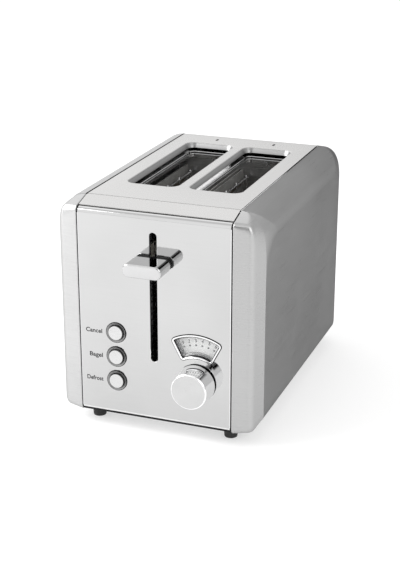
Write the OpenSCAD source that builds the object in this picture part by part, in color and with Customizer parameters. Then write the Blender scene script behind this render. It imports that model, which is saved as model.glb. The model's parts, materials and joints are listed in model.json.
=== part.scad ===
// Two-slot pop-up toaster.
// Front panel faces -Y. Origin: middle of the footprint, on the table. Millimetres.
// Sub-parts are drawn with Y counted from the front panel's face and Z from a datum line
// datum_z above the table, then moved by in_frame().

/* [Body] */
// Length of the body, from the front panel's face to the rear panel's face
body_l = 257; // [254:1:264]
// Width of the front, top and rear panels, seam to seam
panel_w = 130.8; // [130.4:0.2:134]
// How far each side shell stands out beyond its seam
shell_out = 21.9; // [18:0.1:24]
// Height of the flat top above the datum line
body_h = 190; // [189:0.5:194]
// Height of the rubber feet
foot_h = 12; // [11:0.5:12]
// Thickness of the outer stainless sheet
sheet = 1; // [0.8:0.1:1.2]
// Width of the seam between a panel and a side shell
seam = 0.8; // [0.5:0.1:1]

/* [Bread slots] */
// Distance between the centres of the two slots
slot_pitch = 55; // [54:0.5:56]
// Width of a slot at the top face
slot_w = 45; // [44:0.5:46]
// Length of a slot at the top face
slot_l = 146.5; // [145:0.5:148]
// Distance from the front face to the slots
slot_front = 62.5; // [62:0.5:64]
// Lean of the bread guides while the bread is up, in degrees
guide_lean = 3.5; // [2:0.25:3.5]

/* [Lever] */
// Height of the lever's middle at rest
lever_z = 145.7; // [145:0.1:146]
// Width of the lever knob
lever_w = 32.4; // [26:0.4:36]
// Height of the lever knob
lever_h = 10.8; // [10:0.2:12]
// How far the lever knob stands out from the front face
lever_reach = 24.8; // [20:0.2:28]
// Travel down from rest, to the latched position
travel_down = 78; // [70:1:78]
// Extra lift above rest, for small slices
travel_up = 18; // [10:1:18]

/* [Buttons and dial] */
// Distance of the column of buttons from the middle
button_x = 33.2; // [32:0.1:35]
// Height of the top button
button_z = 81.9; // [80:0.1:83]
// Spacing of the buttons
button_pitch = 21.2; // [20:0.1:22]
// Distance of the dial from the middle
dial_x = 36.4; // [35:0.1:37]
// Height of the dial
dial_z = 48.2; // [47:0.1:49]
// Radius of the dial's base
dial_r = 16.4; // [14:0.1:17]
// How far the dial stands out from the front face
dial_reach = 19; // [16:0.5:21]

/* [Hidden] */
$fn = 48;
touch = 0.01;

// Whole object, front to back: the lever leads, the crumb tray's grip ends it
grip_reach = 8;
front_y = lever_reach - (lever_reach + body_l + grip_reach) / 2;

// Height of the datum line above the table, and of the body's underside above the datum
datum_z = 4;
under_z = foot_h - datum_z;

// Outer shape
panel_half = panel_w / 2 - seam / 2;
shell_x = panel_w / 2 + seam / 2;
shell_wall = 1.2;
shell_z = under_z - 1;
corner_r = 5;
lip_l = 20;
lip_slope = 15;
arc_n = 12;
rim_n = 10;
rim_front = 17;
rim_rear = 27;
rim_top = 23;
rim_bottom = 14;
side_front_r = 34;
side_rear_r = 14;
side_bottom_r = 4;

// Height where the sloped lip meets the rounded front corner
lip_z = body_h - (lip_l - corner_r * (1 - sin(lip_slope))) * tan(lip_slope)
    + corner_r * (1 - cos(lip_slope));

// Front and rear panels
panel_z = under_z + 1;
panel_bend = 4.6;
lip_edge = panel_bend;
lip_edge_t = 0.7;
lip_edge_z = body_h - (lip_l - lip_edge) * tan(lip_slope);
panel_top = lip_edge_z - lip_edge_t - 0.35;
hem_bend = 2.5;
hem_l = 8;
flange_l = 11;

// Slots, their turned-down collars and the chamber below them
slot_mid = slot_front + slot_l / 2;
slot_r = 8;
collar_in = 2.6;
collar_drop = 7;
top_t = 1.2;
chamber_half = 76;
plate_t = 1;
plate_half = 62;
plate_z = 20;
chamber_top = body_h - 13;
rim_w = slot_w - 7;
rim_l = slot_l - 8.5;
rim_h = 2.5;
front_plate_y = slot_mid - chamber_half - plate_t;
rear_plate_y = slot_mid + chamber_half;
board_gap = 25;
board_t = 1;
board_z = 36;
board_top = 168;

// Base and crumb tray
base_t = 1.5;
base_top = under_z + base_t;
foot_x = 59;
foot_y = 20;
foot_r = 6.2;
foot_seat = 5;
tray_half = 55.5;
tray_z = base_top + 0.5;
tray_wall = 6;
tray_front = front_plate_y + 3;
tray_opening_half = tray_half + 2;
tray_opening_top = base_top + tray_wall + 3;

// Cord gland
gland_x = -40;
gland_z = 34;
gland_r = 7;
cord_r = 3.6;

// Carriage
arm_w = 4.8;
arm_h = 6;
knob_gap = 1.2;
rod_r = 3;
rod_x = 16;
rod_y = 34;
running = 0.05;
bush_w = 10;
bush_h = 24;
bush_z = lever_z - 17.7;
carriage_y = rod_y + bush_w / 2;
carriage_t = 1.5;
carriage_back = carriage_y + carriage_t;
rest_z = lever_z - 32.7;
rest_h = 7;
rest_t = 2;
bracket_z = chamber_top - 3;
armature_z = rest_z + 3;
magnet_top = armature_z - travel_down - 0.4;
spring_in = 3.5;
spring_out = 4.7;

// Bread guides
hinge_z = 32;
hinge_half = 12;
wire_r = 1.1;
bar_r = 0.8;
guide_h = 133;
guide_bars = 6;

// Controls
lever_slot_w = 6.2;
lever_slot_z = lever_z - travel_down - 6.5;
lever_slot_top = lever_z + travel_up + 6.5;
carrier_t = 2;
board_y = 14;
pcb_t = 1.6;
switch_t = 2;
switch_y = board_y - switch_t;
power_z = base_top + 6;
magnet_z = power_z + pcb_t;
cap_r = 6.15;
bezel_r = 8.85;
bezel_hole_r = cap_r + 0.3;
button_proud = 2;
shaft_r = 3;
fan_n = 20;
fan_corner_n = 5;
fan_angle = 29.5;
fan_in = 20.8;
fan_out = 41.9;
window_angle = 27.8;
window_in = 24.4;
window_out = 38.6;

// ---- Helpers ----

// Moves a sub-part from the front face's own Y and the datum line's Z to the object's frame
module in_frame() {
    translate([0, front_y, datum_z]) children();
}

// Box between two opposite corners
module block(low, high) {
    translate(low) cube(high - low);
}

// Sheet across the object: a drawing in X and Z, from y to y + t
module sheet_y(y, t) {
    translate([0, y + t, 0]) rotate([90, 0, 0]) linear_extrude(t) children();
}

// Sheet along the object: a drawing in Y and Z, from x to x + t
module sheet_x(x, t) {
    translate([x, 0, 0]) rotate([90, 0, 90]) linear_extrude(t) children();
}

// Round bar along Y
module bar_y(r, x, z, y0, y1) {
    translate([x, y0, z]) rotate([-90, 0, 0]) cylinder(r = r, h = y1 - y0);
}

// Round bar along Z
module bar_z(r, x, y, z0, z1) {
    translate([x, y, z0]) cylinder(r = r, h = z1 - z0);
}

// Flat rectangle between two opposite corners
module area(low, high) {
    translate(low) square(high - low);
}

// Flat rectangle with round corners, centred
module round_area(w, l, r) {
    square([w - 2 * r, l], center = true);
    square([w, l - 2 * r], center = true);
    for (sx = [-1, 1], sy = [-1, 1])
        translate([sx * (w / 2 - r), sy * (l / 2 - r)]) circle(r);
}

// Upright slot with round ends
module slot_area(x, w, z0, z1) {
    translate([x, (z0 + z1) / 2]) round_area(w, z1 - z0, w / 2 - touch);
}

// A quarter of a ring of sheet, bent about the origin; turn picks the quarter
module bend_area(r, t, turn) {
    rotate(turn) intersection() {
        difference() {
            circle(r);
            circle(r - t);
        }
        square(r);
    }
}

// Fan-shaped area about the dial's axis; the middles of its round corners lie half_angle from upright
module fan_area(r_in, r_out, half_angle, r) {
    left = 90 + half_angle;
    right = 90 - half_angle;
    step = 2 * half_angle / fan_n;
    translate([dial_x, dial_z]) polygon(concat(
        arc_points([0, 0], r_out, right + step, left - step, fan_n - 2),
        arc_points((r_out - r) * [cos(left), sin(left)], r, left, left + 90, fan_corner_n),
        arc_points((r_in + r) * [cos(left), sin(left)], r, left + 90, left + 180, fan_corner_n),
        arc_points([0, 0], r_in, left - step, right + step, fan_n - 2),
        arc_points((r_in + r) * [cos(right), sin(right)], r, right - 180, right - 90, fan_corner_n),
        arc_points((r_out - r) * [cos(right), sin(right)], r, right - 90, right, fan_corner_n)
    ));
}

function arc_points(centre, r, from, to, n) =
    [for (i = [0:n]) let (a = from + (to - from) * i / n) centre + r * [cos(a), sin(a)]];

// ---- Side shells: a rim lofted from the seam to the flat side ----

// Outline in Y and Z at the seam, moved in by k
function seam_outline(k) = let (
        r = corner_r - k,
        low = shell_z + k + r,
        high = lip_z - k - r,
        rear = body_l - k - r
    ) concat(
        arc_points([k + r, low], r, 270, 180, arc_n),
        arc_points([k + r, high], r, 180, 90 + lip_slope, arc_n - 1),
        [[lip_l, body_h - k], [body_l - lip_l, body_h - k]],
        arc_points([rear, high], r, 90 - lip_slope, 0, arc_n - 1),
        arc_points([rear, low], r, 0, -90, arc_n)
    );

// Outline in Y and Z of the flat side, with a point for each point of the seam
function side_outline() = let (
        low = shell_z + rim_bottom + side_bottom_r,
        high = body_h - rim_top,
        rear = body_l - rim_rear
    ) concat(
        arc_points([rim_front + side_bottom_r, low], side_bottom_r, 270, 180, arc_n),
        arc_points([rim_front + side_front_r, high - side_front_r], side_front_r, 180, 90, arc_n),
        arc_points([rear - side_rear_r, high - side_rear_r], side_rear_r, 90, 0, arc_n),
        arc_points([rear - side_bottom_r, low], side_bottom_r, 0, -90, arc_n)
    );

// One ring of the rim: each point runs along a quarter of an ellipse, a from 0 to 90
function rim_ring(seam_points, out, a) = let (side_points = side_outline())
    [for (i = [0:len(seam_points) - 1])
        let (p = side_points[i] + (seam_points[i] - side_points[i]) * cos(a))
            [shell_x + out * sin(a), p.x, p.y]];

function ring_stack(seam_points, out) =
    [for (j = [0:rim_n]) each rim_ring(seam_points, out, 90 * j / rim_n)];

// Two triangles for each four-sided patch between ring a and ring b
function ring_faces(a, b, n) = [for (i = [0:n - 1]) let (k = (i + 1) % n)
    each [[a + i, b + i, b + k], [a + i, b + k, a + k]]];

module side_shell() {
    outer = seam_outline(0);
    inner = seam_outline(shell_wall);
    n = len(outer);
    inside = n * (rim_n + 1);
    polyhedron(
        points = concat(ring_stack(outer, shell_out), ring_stack(inner, shell_out - shell_wall)),
        faces = concat(
            [for (j = [0:rim_n - 1]) each ring_faces(j * n, (j + 1) * n, n)],
            [[for (i = [0:n - 1]) rim_n * n + n - 1 - i]],
            [for (j = [0:rim_n - 1]) each ring_faces(inside + (j + 1) * n, inside + j * n, n)],
            [[for (i = [0:n - 1]) inside + rim_n * n + i]],
            ring_faces(inside, 0, n)
        )
    );
}

module left_side_shell() color("lightgray") in_frame() mirror([1, 0, 0]) side_shell();

module right_side_shell() color("lightgray") in_frame() side_shell();

// ---- Panels ----

// Section of the front panel in Y and Z
module panel_section() {
    area([0, panel_z + hem_bend], [sheet, panel_top - panel_bend]);
    translate([hem_bend, panel_z + hem_bend]) bend_area(hem_bend, sheet, 180);
    area([hem_bend, panel_z], [hem_l, panel_z + sheet]);
    translate([panel_bend, panel_top - panel_bend]) bend_area(panel_bend, sheet, 90);
    area([panel_bend, panel_top - sheet], [hem_l, panel_top]);
}

// Bent sheet with side flanges
module plain_panel() {
    sheet_x(-panel_half, 2 * panel_half) panel_section();
    for (side = [-1, 1])
        sheet_x(side * (panel_half - sheet / 2) - sheet / 2, sheet)
            area([sheet / 2, panel_z + hem_bend], [flange_l, panel_top - panel_bend]);
}

module button_areas(r) {
    for (i = [0:2]) translate([-button_x, button_z - i * button_pitch]) circle(r);
}

module front_panel() color("gainsboro") in_frame() difference() {
    plain_panel();
    sheet_y(-1, 4) {
        slot_area(0, lever_slot_w, lever_slot_z, lever_slot_top);
        button_areas(8);
        translate([dial_x, dial_z]) circle(shaft_r + 0.8);
        fan_area(fan_in + 1.4, fan_out - 1.3, fan_angle, 1.4);
    }
}

module rear_screw_places() {
    for (side = [-1, 1], z = [26, 168]) translate([side * 58, body_l, z]) children();
}

module rear_panel() color("gainsboro") in_frame() difference() {
    translate([0, body_l, 0]) mirror([0, 1, 0]) plain_panel();
    block([-tray_opening_half, body_l - 12, 0], [tray_opening_half, body_l + 1, tray_opening_top]);
    bar_y(gland_r + 0.1, gland_x, gland_z, body_l - 3, body_l + 1);
    rear_screw_places() rotate([90, 0, 0]) translate([0, 0, -1]) cylinder(r = 1.6, h = 4);
}

// A round-cornered funnel between two sizes, from z1 up to z0
module funnel(w0, l0, r0, z0, w1, l1, r1, z1) {
    hull() {
        translate([0, 0, z0]) linear_extrude(touch) round_area(w0, l0, r0, $fn = 32);
        translate([0, 0, z1]) linear_extrude(touch) round_area(w1, l1, r1, $fn = 32);
    }
}

module slot_places() {
    for (side = [-1, 1]) translate([side * slot_pitch / 2, slot_mid, 0]) children();
}

// Section of the top panel in Y and Z, with a sloped lip at each end
module top_section() {
    under = lip_edge_z - lip_edge_t;
    polygon([[lip_edge, lip_edge_z], [lip_l, body_h], [body_l - lip_l, body_h],
        [body_l - lip_edge, lip_edge_z], [body_l - lip_edge, under],
        [body_l - lip_l, body_h - top_t], [lip_l, body_h - top_t], [lip_edge, under]]);
}

module top_panel() color("whitesmoke") in_frame() {
    w1 = slot_w - 2 * collar_in;
    l1 = slot_l - 2 * collar_in;
    r1 = slot_r - collar_in;
    wall = 2 * top_t;
    bottom = body_h - collar_drop;
    difference() {
        union() {
            sheet_x(-panel_half, 2 * panel_half) top_section();
            slot_places() funnel(slot_w + wall, slot_l + wall, slot_r + top_t, body_h - top_t,
                w1 + wall, l1 + wall, r1 + top_t, bottom);
            for (side = [-1, 1])
                sheet_x(side * (panel_half - sheet / 2) - sheet / 2, sheet)
                    area([lip_l + 2, chamber_top + 1], [body_l - lip_l - 2, body_h - top_t / 2]);
        }
        slot_places() funnel(slot_w, slot_l, slot_r, body_h, w1, l1, r1, bottom - touch);
    }
}

// ---- Base, feet and crumb tray ----

module foot_places() {
    for (sx = [-1, 1], y = [foot_y, body_l - foot_y]) translate([sx * foot_x, y, 0]) children();
}

module base_plate() color("dimgray") in_frame() difference() {
    block([-64, hem_l + 1, under_z], [64, body_l - hem_l - 1, base_top]);
    foot_places() cylinder(r = 2, h = 20);
    for (i = [0:9], side = [-1, 1]) translate([side * 26, 66 + i * 15, under_z - 1])
        linear_extrude(base_t + 2) round_area(34, 5, 2.4);
}

module foot(sx, y) color("#181818") in_frame() translate([sx * foot_x, y, -datum_z]) difference() {
    union() {
        cylinder(r1 = foot_r - 0.8, r2 = foot_r, h = foot_h - 2);
        translate([0, 0, foot_h - 2]) cylinder(r = foot_r, h = 2);
    }
    translate([0, 0, -1]) cylinder(r = 4, h = datum_z + foot_seat + 1);
    cylinder(r = 2, h = 20);
}

module case_screws() color("silver") in_frame() {
    foot_places() {
        translate([0, 0, foot_seat - 1.8]) cylinder(r = 3.6, h = 1.8);
        translate([0, 0, foot_seat - 1.8]) cylinder(r = 1.8, h = base_top);
    }
    rear_screw_places() rotate([90, 0, 0]) {
        translate([0, 0, -1.6]) cylinder(r = 3, h = 1.6);
        translate([0, 0, -1.6]) cylinder(r = 1.5, h = 9);
    }
}

module crumb_tray() color("silver") in_frame() {
    difference() {
        block([-tray_half, tray_front, tray_z], [tray_half, body_l, tray_z + tray_wall]);
        block([-tray_half + 0.8, tray_front + 0.8, tray_z + 0.8],
            [tray_half - 0.8, body_l - 0.8, tray_z + tray_wall + 1]);
    }
    block([-tray_half - 4, body_l + 0.4, panel_z], [tray_half + 4, body_l + 1.4, tray_opening_top + 3]);
    block([-tray_half, body_l - touch, tray_z], [tray_half, body_l + 0.5, tray_z + tray_wall]);
}

module crumb_tray_grip() color("#202020") in_frame() {
    tray_back = body_l + 1.4;
    translate([0, tray_back, 0]) difference() {
        sheet_x(-30, 60) union() {
            area([0, 13], [1.5, 21]);
            area([0, 13], [grip_reach - 1.4 - 1.5, 16]);
            translate([grip_reach - 1.4 - 1.5, 14.5]) circle(1.5);
        }
        for (side = [-1, 1]) translate([side * 30, 8, 10]) cylinder(r = 4, h = 8);
    }
}

// ---- Toasting chamber ----

// Openings of an end plate: arm slots, hinge holes
module end_plate_area() {
    difference() {
        union() {
            area([-plate_half, plate_z], [plate_half, chamber_top]);
            for (side = [-1, 1])
                translate([side * (plate_half - 2.5), (base_top + plate_z) / 2 + 0.5])
                    square([5, plate_z - base_top + 1], center = true);
        }
        for (side = [-1, 1]) translate([side * slot_pitch / 2, 0]) {
            slot_area(0, 5, rest_z - travel_down - 2, rest_z + rest_h + 1 + travel_up + 2);
            for (s = [-1, 1]) translate([s * hinge_half, hinge_z]) circle(wire_r + running);
        }
    }
}

module front_end_plate() color("darkgray") in_frame() sheet_y(front_plate_y, plate_t) end_plate_area();

module rear_end_plate() color("darkgray") in_frame() sheet_y(rear_plate_y, plate_t) difference() {
    end_plate_area();
    for (side = [-1, 1]) translate([side * slot_pitch / 2 + 9, chamber_top - 14]) circle(1.2);
}

module end_plate_rivets() color("white") in_frame()
    for (side = [-1, 1]) translate([side * slot_pitch / 2 + 9, 0, chamber_top - 14]) {
        bar_y(1.2, 0, 0, rear_plate_y, rear_plate_y + plate_t);
        bar_y(2.2, 0, 0, rear_plate_y - 0.9, rear_plate_y);
        bar_y(2, 0, 0, rear_plate_y + plate_t, rear_plate_y + plate_t + 0.8);
    }

// Plate with a bright raised rim round each opening
module chamber_top_plate() color("silver") in_frame() difference() {
    union() {
        block([-plate_half, front_plate_y - 8, chamber_top],
            [plate_half, rear_plate_y + 9, chamber_top + plate_t]);
        slot_places() translate([0, 0, chamber_top])
            linear_extrude(plate_t + rim_h) round_area(rim_w + 2, rim_l + 2, 6);
    }
    slot_places() translate([0, 0, chamber_top - 1])
        linear_extrude(plate_t + rim_h + 2) round_area(rim_w, rim_l, 5);
}

// Lengthwise sheet between the end plates, at x on the given side
module chamber_sheet(x, t, z0, z1) {
    sheet_x(x, t) area([front_plate_y + plate_t, z0], [rear_plate_y, z1]);
}

module left_heat_shield() color("darkgray") in_frame() chamber_sheet(-61.6, 0.6, plate_z, chamber_top);

module right_heat_shield() color("darkgray") in_frame() chamber_sheet(61, 0.6, plate_z, chamber_top);

// slot: -1 left, 1 right. wall: -1 or 1, the side of that slot
module mica_board(slot, wall) color("tan") in_frame() {
    face = slot * slot_pitch / 2 + wall * board_gap;
    chamber_sheet(min(face, face + wall * board_t), board_t, board_z, board_top);
}

// Runs of flat heating ribbon on the bread's side of a board
module ribbon(slot, wall) color("darkorange") in_frame() {
    face = slot * slot_pitch / 2 + wall * board_gap;
    t = 0.3;
    for (i = [0:9]) sheet_x(min(face, face - wall * t), t)
        area([front_plate_y + 9, board_z + 10 + i * 12], [rear_plate_y - 8, board_z + 12.4 + i * 12]);
}

// Wire grille beside the bread, hinged at its bottom wire
module bread_guide(slot, wall) color("silver") in_frame()
    translate([slot * slot_pitch / 2 + wall * hinge_half, 0, hinge_z]) rotate([0, wall * guide_lean, 0]) {
        y0 = front_plate_y + plate_t + 7;
        y1 = rear_plate_y - 7;
        bar_y(wire_r, 0, 0, front_plate_y - 2, rear_plate_y + plate_t + 2);
        for (z = [guide_h * 0.52, guide_h - 3]) bar_y(wire_r - 0.1, 0, z, y0 - 4, y1 + 4);
        for (i = [0:guide_bars - 1]) bar_z(bar_r, 0, y0 + (y1 - y0) * i / (guide_bars - 1), 0, guide_h);
    }

// ---- Carriage: everything that rides with the lever ----

// Bar with cross wires that carries the slice
module bread_rest(side) color("silver") in_frame() translate([side * slot_pitch / 2, 0, 0]) {
    wires = 11;
    y0 = front_plate_y + 9;
    y1 = rear_plate_y - 8;
    block([-rest_t / 2, carriage_back, rest_z], [rest_t / 2, rear_plate_y + 5, rest_z + rest_h]);
    for (i = [0:wires - 1]) translate([-9, y0 + (y1 - y0) * i / (wires - 1), rest_z + rest_h])
        rotate([0, 90, 0]) cylinder(r = 0.9, h = 18);
}

module carriage_plate() color("darkgray") in_frame() {
    sheet_y(carriage_y, carriage_t) {
        area([-22, rest_z - 1], [22, lever_z + 8.3]);
        area([-30, rest_z - 1], [30, rest_z + rest_h + 1]);
    }
}

module slide_bush(side) color("ivory") in_frame() difference() {
    block([side * rod_x - bush_w / 2, rod_y - bush_w / 2, bush_z],
        [side * rod_x + bush_w / 2, carriage_y, bush_z + bush_h]);
    bar_z(rod_r + running, side * rod_x, rod_y, bush_z - 1, bush_z + bush_h + 1);
}

module latch_armature() color("gray") in_frame()
    block([-9, carriage_back, armature_z], [9, 55, armature_z + 2]);

module lever_arm_shape() {
    block([-arm_w / 2, -lever_reach + 5, lever_z - arm_h / 2], [arm_w / 2, carriage_y, lever_z + arm_h / 2]);
}

module lever_arm() color("#303030") in_frame() lever_arm_shape();

module lever_knob() color("white") in_frame() difference() {
    translate([0, 0, lever_z]) sheet_y(-lever_reach, lever_reach - knob_gap)
        round_area(lever_w, lever_h, lever_h / 2 - 0.4);
    lever_arm_shape();
}

// ---- Mechanism fixed in the front bay ----

module guide_rod(side) color("silver") in_frame() bar_z(rod_r, side * rod_x, rod_y, base_top, bracket_z);

module rod_bracket() color("darkgray") in_frame() {
    block([-26, rod_y - 8, bracket_z], [26, front_plate_y, bracket_z + 1.5]);
    block([-26, front_plate_y - 1.5, bracket_z - 12], [26, front_plate_y, bracket_z + touch]);
}

// Coil springs round the guide rods, below the slide bushes, each drawn as a plain tube
module return_springs() color("silver") in_frame() for (side = [-1, 1]) difference() {
    bar_z(spring_out, side * rod_x, rod_y, base_top, bush_z - 0.3);
    bar_z(spring_in, side * rod_x, rod_y, 0, bush_z);
}

module power_board() color("darkgreen") in_frame() difference() {
    block([-46, 18, power_z], [46, front_plate_y - 2, magnet_z]);
    for (side = [-1, 1]) bar_z(spring_out + 0.6, side * rod_x, rod_y, 0, 40);
}

module electromagnet_core() color("gray") in_frame() {
    block([-8, 44, magnet_z], [8, 54, magnet_z + 3]);
    block([-3, 46, magnet_z + 3 - touch], [3, 52, magnet_top]);
}

module electromagnet_coil() color("peru") in_frame() difference() {
    bar_z(7, 0, 49, magnet_z + 3, magnet_top - 2);
    block([-3, 46, magnet_z], [3, 52, magnet_top + 1]);
}

// ---- Controls ----

// Outline shared by the carrier and the control board: open round the lever's path
module control_area(half, z0, z1) {
    difference() {
        area([-half, z0], [half, z1]);
        area([-9, lever_z - travel_down - 14], [9, z1 + 1]);
    }
}

module carrier_posts() {
    for (sx = [-1, 1], z = [27, 99]) translate([sx * 56, 0, z]) children();
}

module control_carrier() color("#282828") in_frame() {
    sheet_y(sheet, carrier_t) difference() {
        control_area(61, 22, 104);
        button_areas(bezel_r);
        translate([dial_x, dial_z]) circle(4.7);
        fan_area(fan_in + 0.7, fan_out - 0.6, fan_angle, 2);
    }
    carrier_posts() bar_y(3, 0, 0, sheet + carrier_t - touch, board_y);
}

module control_board() color("darkgreen") in_frame() sheet_y(board_y, pcb_t) difference() {
    control_area(60, 24, 102);
    translate([dial_x, dial_z]) circle(shaft_r + 1);
    fan_area(fan_in - 1, fan_out + 1, fan_angle, 2);
}

module button_switches() color("#303030") in_frame() sheet_y(switch_y, switch_t) for (i = [0:2])
    translate([-button_x, button_z - i * button_pitch]) square(6, center = true);

module browning_control() color("#505050") in_frame() difference() {
    union() {
        block([dial_x - 8, 8, dial_z - 8], [dial_x + 8, board_y, dial_z + 8]);
        bar_y(4.5, dial_x, dial_z, sheet + 0.2, 8);
    }
    bar_y(shaft_r + running, dial_x, dial_z, 0, board_y + 1);
}

module browning_shaft() color("silver") in_frame()
    bar_y(shaft_r, dial_x, dial_z, 5 - dial_reach, board_y - 0.5);

// Slightly tapered knob with a bevelled front edge and a socket for its shaft
module dial_knob() color("white") in_frame() translate([dial_x, 0, dial_z]) rotate([90, 0, 0]) difference() {
    rotate_extrude() polygon([[0, 1.8], [dial_r - 0.5, 1.8], [dial_r, 2.3], [dial_r - 1.2, dial_reach - 0.8],
        [dial_r - 1.9, dial_reach], [0, dial_reach]]);
    cylinder(r = shaft_r, h = dial_reach - 5);
}

module scale_bezel() color("silver") in_frame() difference() {
    union() {
        sheet_y(-0.8, 0.8) fan_area(fan_in, fan_out, fan_angle, 2.5);
        sheet_y(-touch, 6 + touch) fan_area(fan_in + 1.6, fan_out - 1.5, fan_angle, 1.2);
    }
    sheet_y(-1, 8) fan_area(window_in, window_out, window_angle, 0.8);
}

module scale_plate() color("whitesmoke") in_frame()
    sheet_y(6, 0.8) fan_area(fan_in + 1, fan_out - 1, fan_angle, 1.5);

module scale_window() color("lightblue", 0.3) in_frame()
    sheet_y(0.4, 1) fan_area(window_in + 0.05, window_out - 0.05, window_angle, 0.7);

// Cap and stem of a push button; i counts from the top
module push_button(i) color("white") in_frame() {
    z = button_z - i * button_pitch;
    bar_y(cap_r, -button_x, z, -button_proud, 4);
    bar_y(2.5, -button_x, z, 4 - touch, switch_y - 2.4);
}

module button_bezels() color("#383838") in_frame() for (i = [0:2])
    translate([-button_x, 0, button_z - i * button_pitch]) difference() {
        union() {
            bar_y(bezel_r, 0, 0, -0.9, 0);
            bar_y(7.9, 0, 0, -touch, 5);
        }
        bar_y(bezel_hole_r, 0, 0, -2, 6);
    }

module cord_gland() color("#202020") in_frame() difference() {
    union() {
        bar_y(gland_r + 2.5, gland_x, gland_z, body_l, body_l + 3);
        bar_y(gland_r, gland_x, gland_z, body_l - 10, body_l + touch);
    }
    bar_y(cord_r, gland_x, gland_z, body_l - 12, body_l + 5);
}

left_side_shell();
right_side_shell();
front_panel();
rear_panel();
top_panel();
base_plate();
foot(-1, foot_y);  // foot_front_left
foot(1, foot_y);  // foot_front_right
foot(-1, body_l - foot_y);  // foot_rear_left
foot(1, body_l - foot_y);  // foot_rear_right
case_screws();
crumb_tray();
crumb_tray_grip();
front_end_plate();
rear_end_plate();
chamber_top_plate();
left_heat_shield();
right_heat_shield();
mica_board(-1, -1);  // left_outer_board
mica_board(-1, 1);  // left_inner_board
mica_board(1, -1);  // right_inner_board
mica_board(1, 1);  // right_outer_board
ribbon(-1, -1);  // left_outer_ribbon
ribbon(-1, 1);  // left_inner_ribbon
ribbon(1, -1);  // right_inner_ribbon
ribbon(1, 1);  // right_outer_ribbon
bread_guide(-1, -1);  // left_outer_guide
bread_guide(-1, 1);  // left_inner_guide
bread_guide(1, -1);  // right_inner_guide
bread_guide(1, 1);  // right_outer_guide
bread_rest(-1);  // left_bread_rest
bread_rest(1);  // right_bread_rest
carriage_plate();
slide_bush(-1);  // left_slide_bush
slide_bush(1);  // right_slide_bush
guide_rod(-1);  // left_guide_rod
guide_rod(1);  // right_guide_rod
rod_bracket();
return_springs();
latch_armature();
electromagnet_core();
electromagnet_coil();
power_board();
lever_arm();
lever_knob();
control_carrier();
control_board();
button_switches();
browning_control();
browning_shaft();
dial_knob();
scale_bezel();
scale_plate();
scale_window();
push_button(0);  // cancel_button
push_button(1);  // bagel_button
push_button(2);  // defrost_button
button_bezels();
cord_gland();
end_plate_rivets();
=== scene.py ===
"""Two-slot pop-up toaster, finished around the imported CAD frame.

Shapes are written in millimetres, with Y counted from the front panel's face, and at() turns
them into the frame's metres. Every piece rides on a CAD body, so it follows the joints.
"""
import json
import math

import bmesh
import bpy
from mathutils import Matrix, Vector


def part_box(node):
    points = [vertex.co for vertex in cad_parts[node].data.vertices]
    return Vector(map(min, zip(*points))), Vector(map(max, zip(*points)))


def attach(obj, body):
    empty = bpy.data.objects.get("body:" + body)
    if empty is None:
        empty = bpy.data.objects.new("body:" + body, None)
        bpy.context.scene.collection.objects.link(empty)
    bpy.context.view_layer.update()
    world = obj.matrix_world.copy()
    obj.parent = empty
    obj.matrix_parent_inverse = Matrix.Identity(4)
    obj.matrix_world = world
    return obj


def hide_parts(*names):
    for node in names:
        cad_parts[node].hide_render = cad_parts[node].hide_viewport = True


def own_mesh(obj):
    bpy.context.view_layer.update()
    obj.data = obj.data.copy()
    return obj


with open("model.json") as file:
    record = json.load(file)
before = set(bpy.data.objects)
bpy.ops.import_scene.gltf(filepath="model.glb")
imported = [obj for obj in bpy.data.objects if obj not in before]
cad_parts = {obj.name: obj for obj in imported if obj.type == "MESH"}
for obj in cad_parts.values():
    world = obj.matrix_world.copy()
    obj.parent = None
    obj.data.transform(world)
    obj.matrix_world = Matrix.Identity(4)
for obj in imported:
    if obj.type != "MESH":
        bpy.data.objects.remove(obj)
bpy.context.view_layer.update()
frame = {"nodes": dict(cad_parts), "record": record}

# ---- Sizes, in millimetres, from the frame ----

MM = 0.001
FACE_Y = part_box("front_panel")[0].y


def mm_box(node):
    """Lowest and highest corner of a CAD node in millimetres, Y from the front face."""
    low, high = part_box(node)
    origin = Vector((0, FACE_Y, 0))
    return (low - origin) / MM, (high - origin) / MM


def middle(node):
    low, high = mm_box(node)
    return (low + high) / 2


def at(x, y, z):
    return Vector((x * MM, FACE_Y + y * MM, z * MM))


BODY_L = mm_box("rear_panel")[1].y
PANEL_HALF = mm_box("front_panel")[1].x
PANEL_LOW = mm_box("front_panel")[0].z
PANEL_HIGH = mm_box("front_panel")[1].z
SHELL_LOW, SHELL_HIGH = mm_box("right_side_shell")
SHELL_X = SHELL_LOW.x
SHELL_OUT = SHELL_HIGH.x - SHELL_LOW.x
TOP_Z = mm_box("top_panel")[1].z
CORNER_R = 5
LIP_L = 20
LIP_SLOPE = 15
LIP_TAN = math.tan(math.radians(LIP_SLOPE))
LIP_Z = (
    TOP_Z
    - (LIP_L - CORNER_R * (1 - math.sin(math.radians(LIP_SLOPE)))) * LIP_TAN
    + CORNER_R * (1 - math.cos(math.radians(LIP_SLOPE)))
)

# Slots in the top panel, and the rims below them
SLOT_X = 27.5
SLOT_MID = 135.75
SLOT_W = 45
SLOT_L = 146.5
SLOT_R = 8
COLLAR_IN = 1.7
COLLAR_DROP = 4.6

# Controls on the front face
LEVER = middle("lever_knob")
LEVER_LOW, LEVER_HIGH = mm_box("lever_knob")
DIAL = middle("dial_knob")
DIAL_LOW, DIAL_HIGH = mm_box("dial_knob")
BUTTONS = {name: middle(f"{name}_button") for name in ("cancel", "bagel", "defrost")}

# ---- Materials ----


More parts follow.
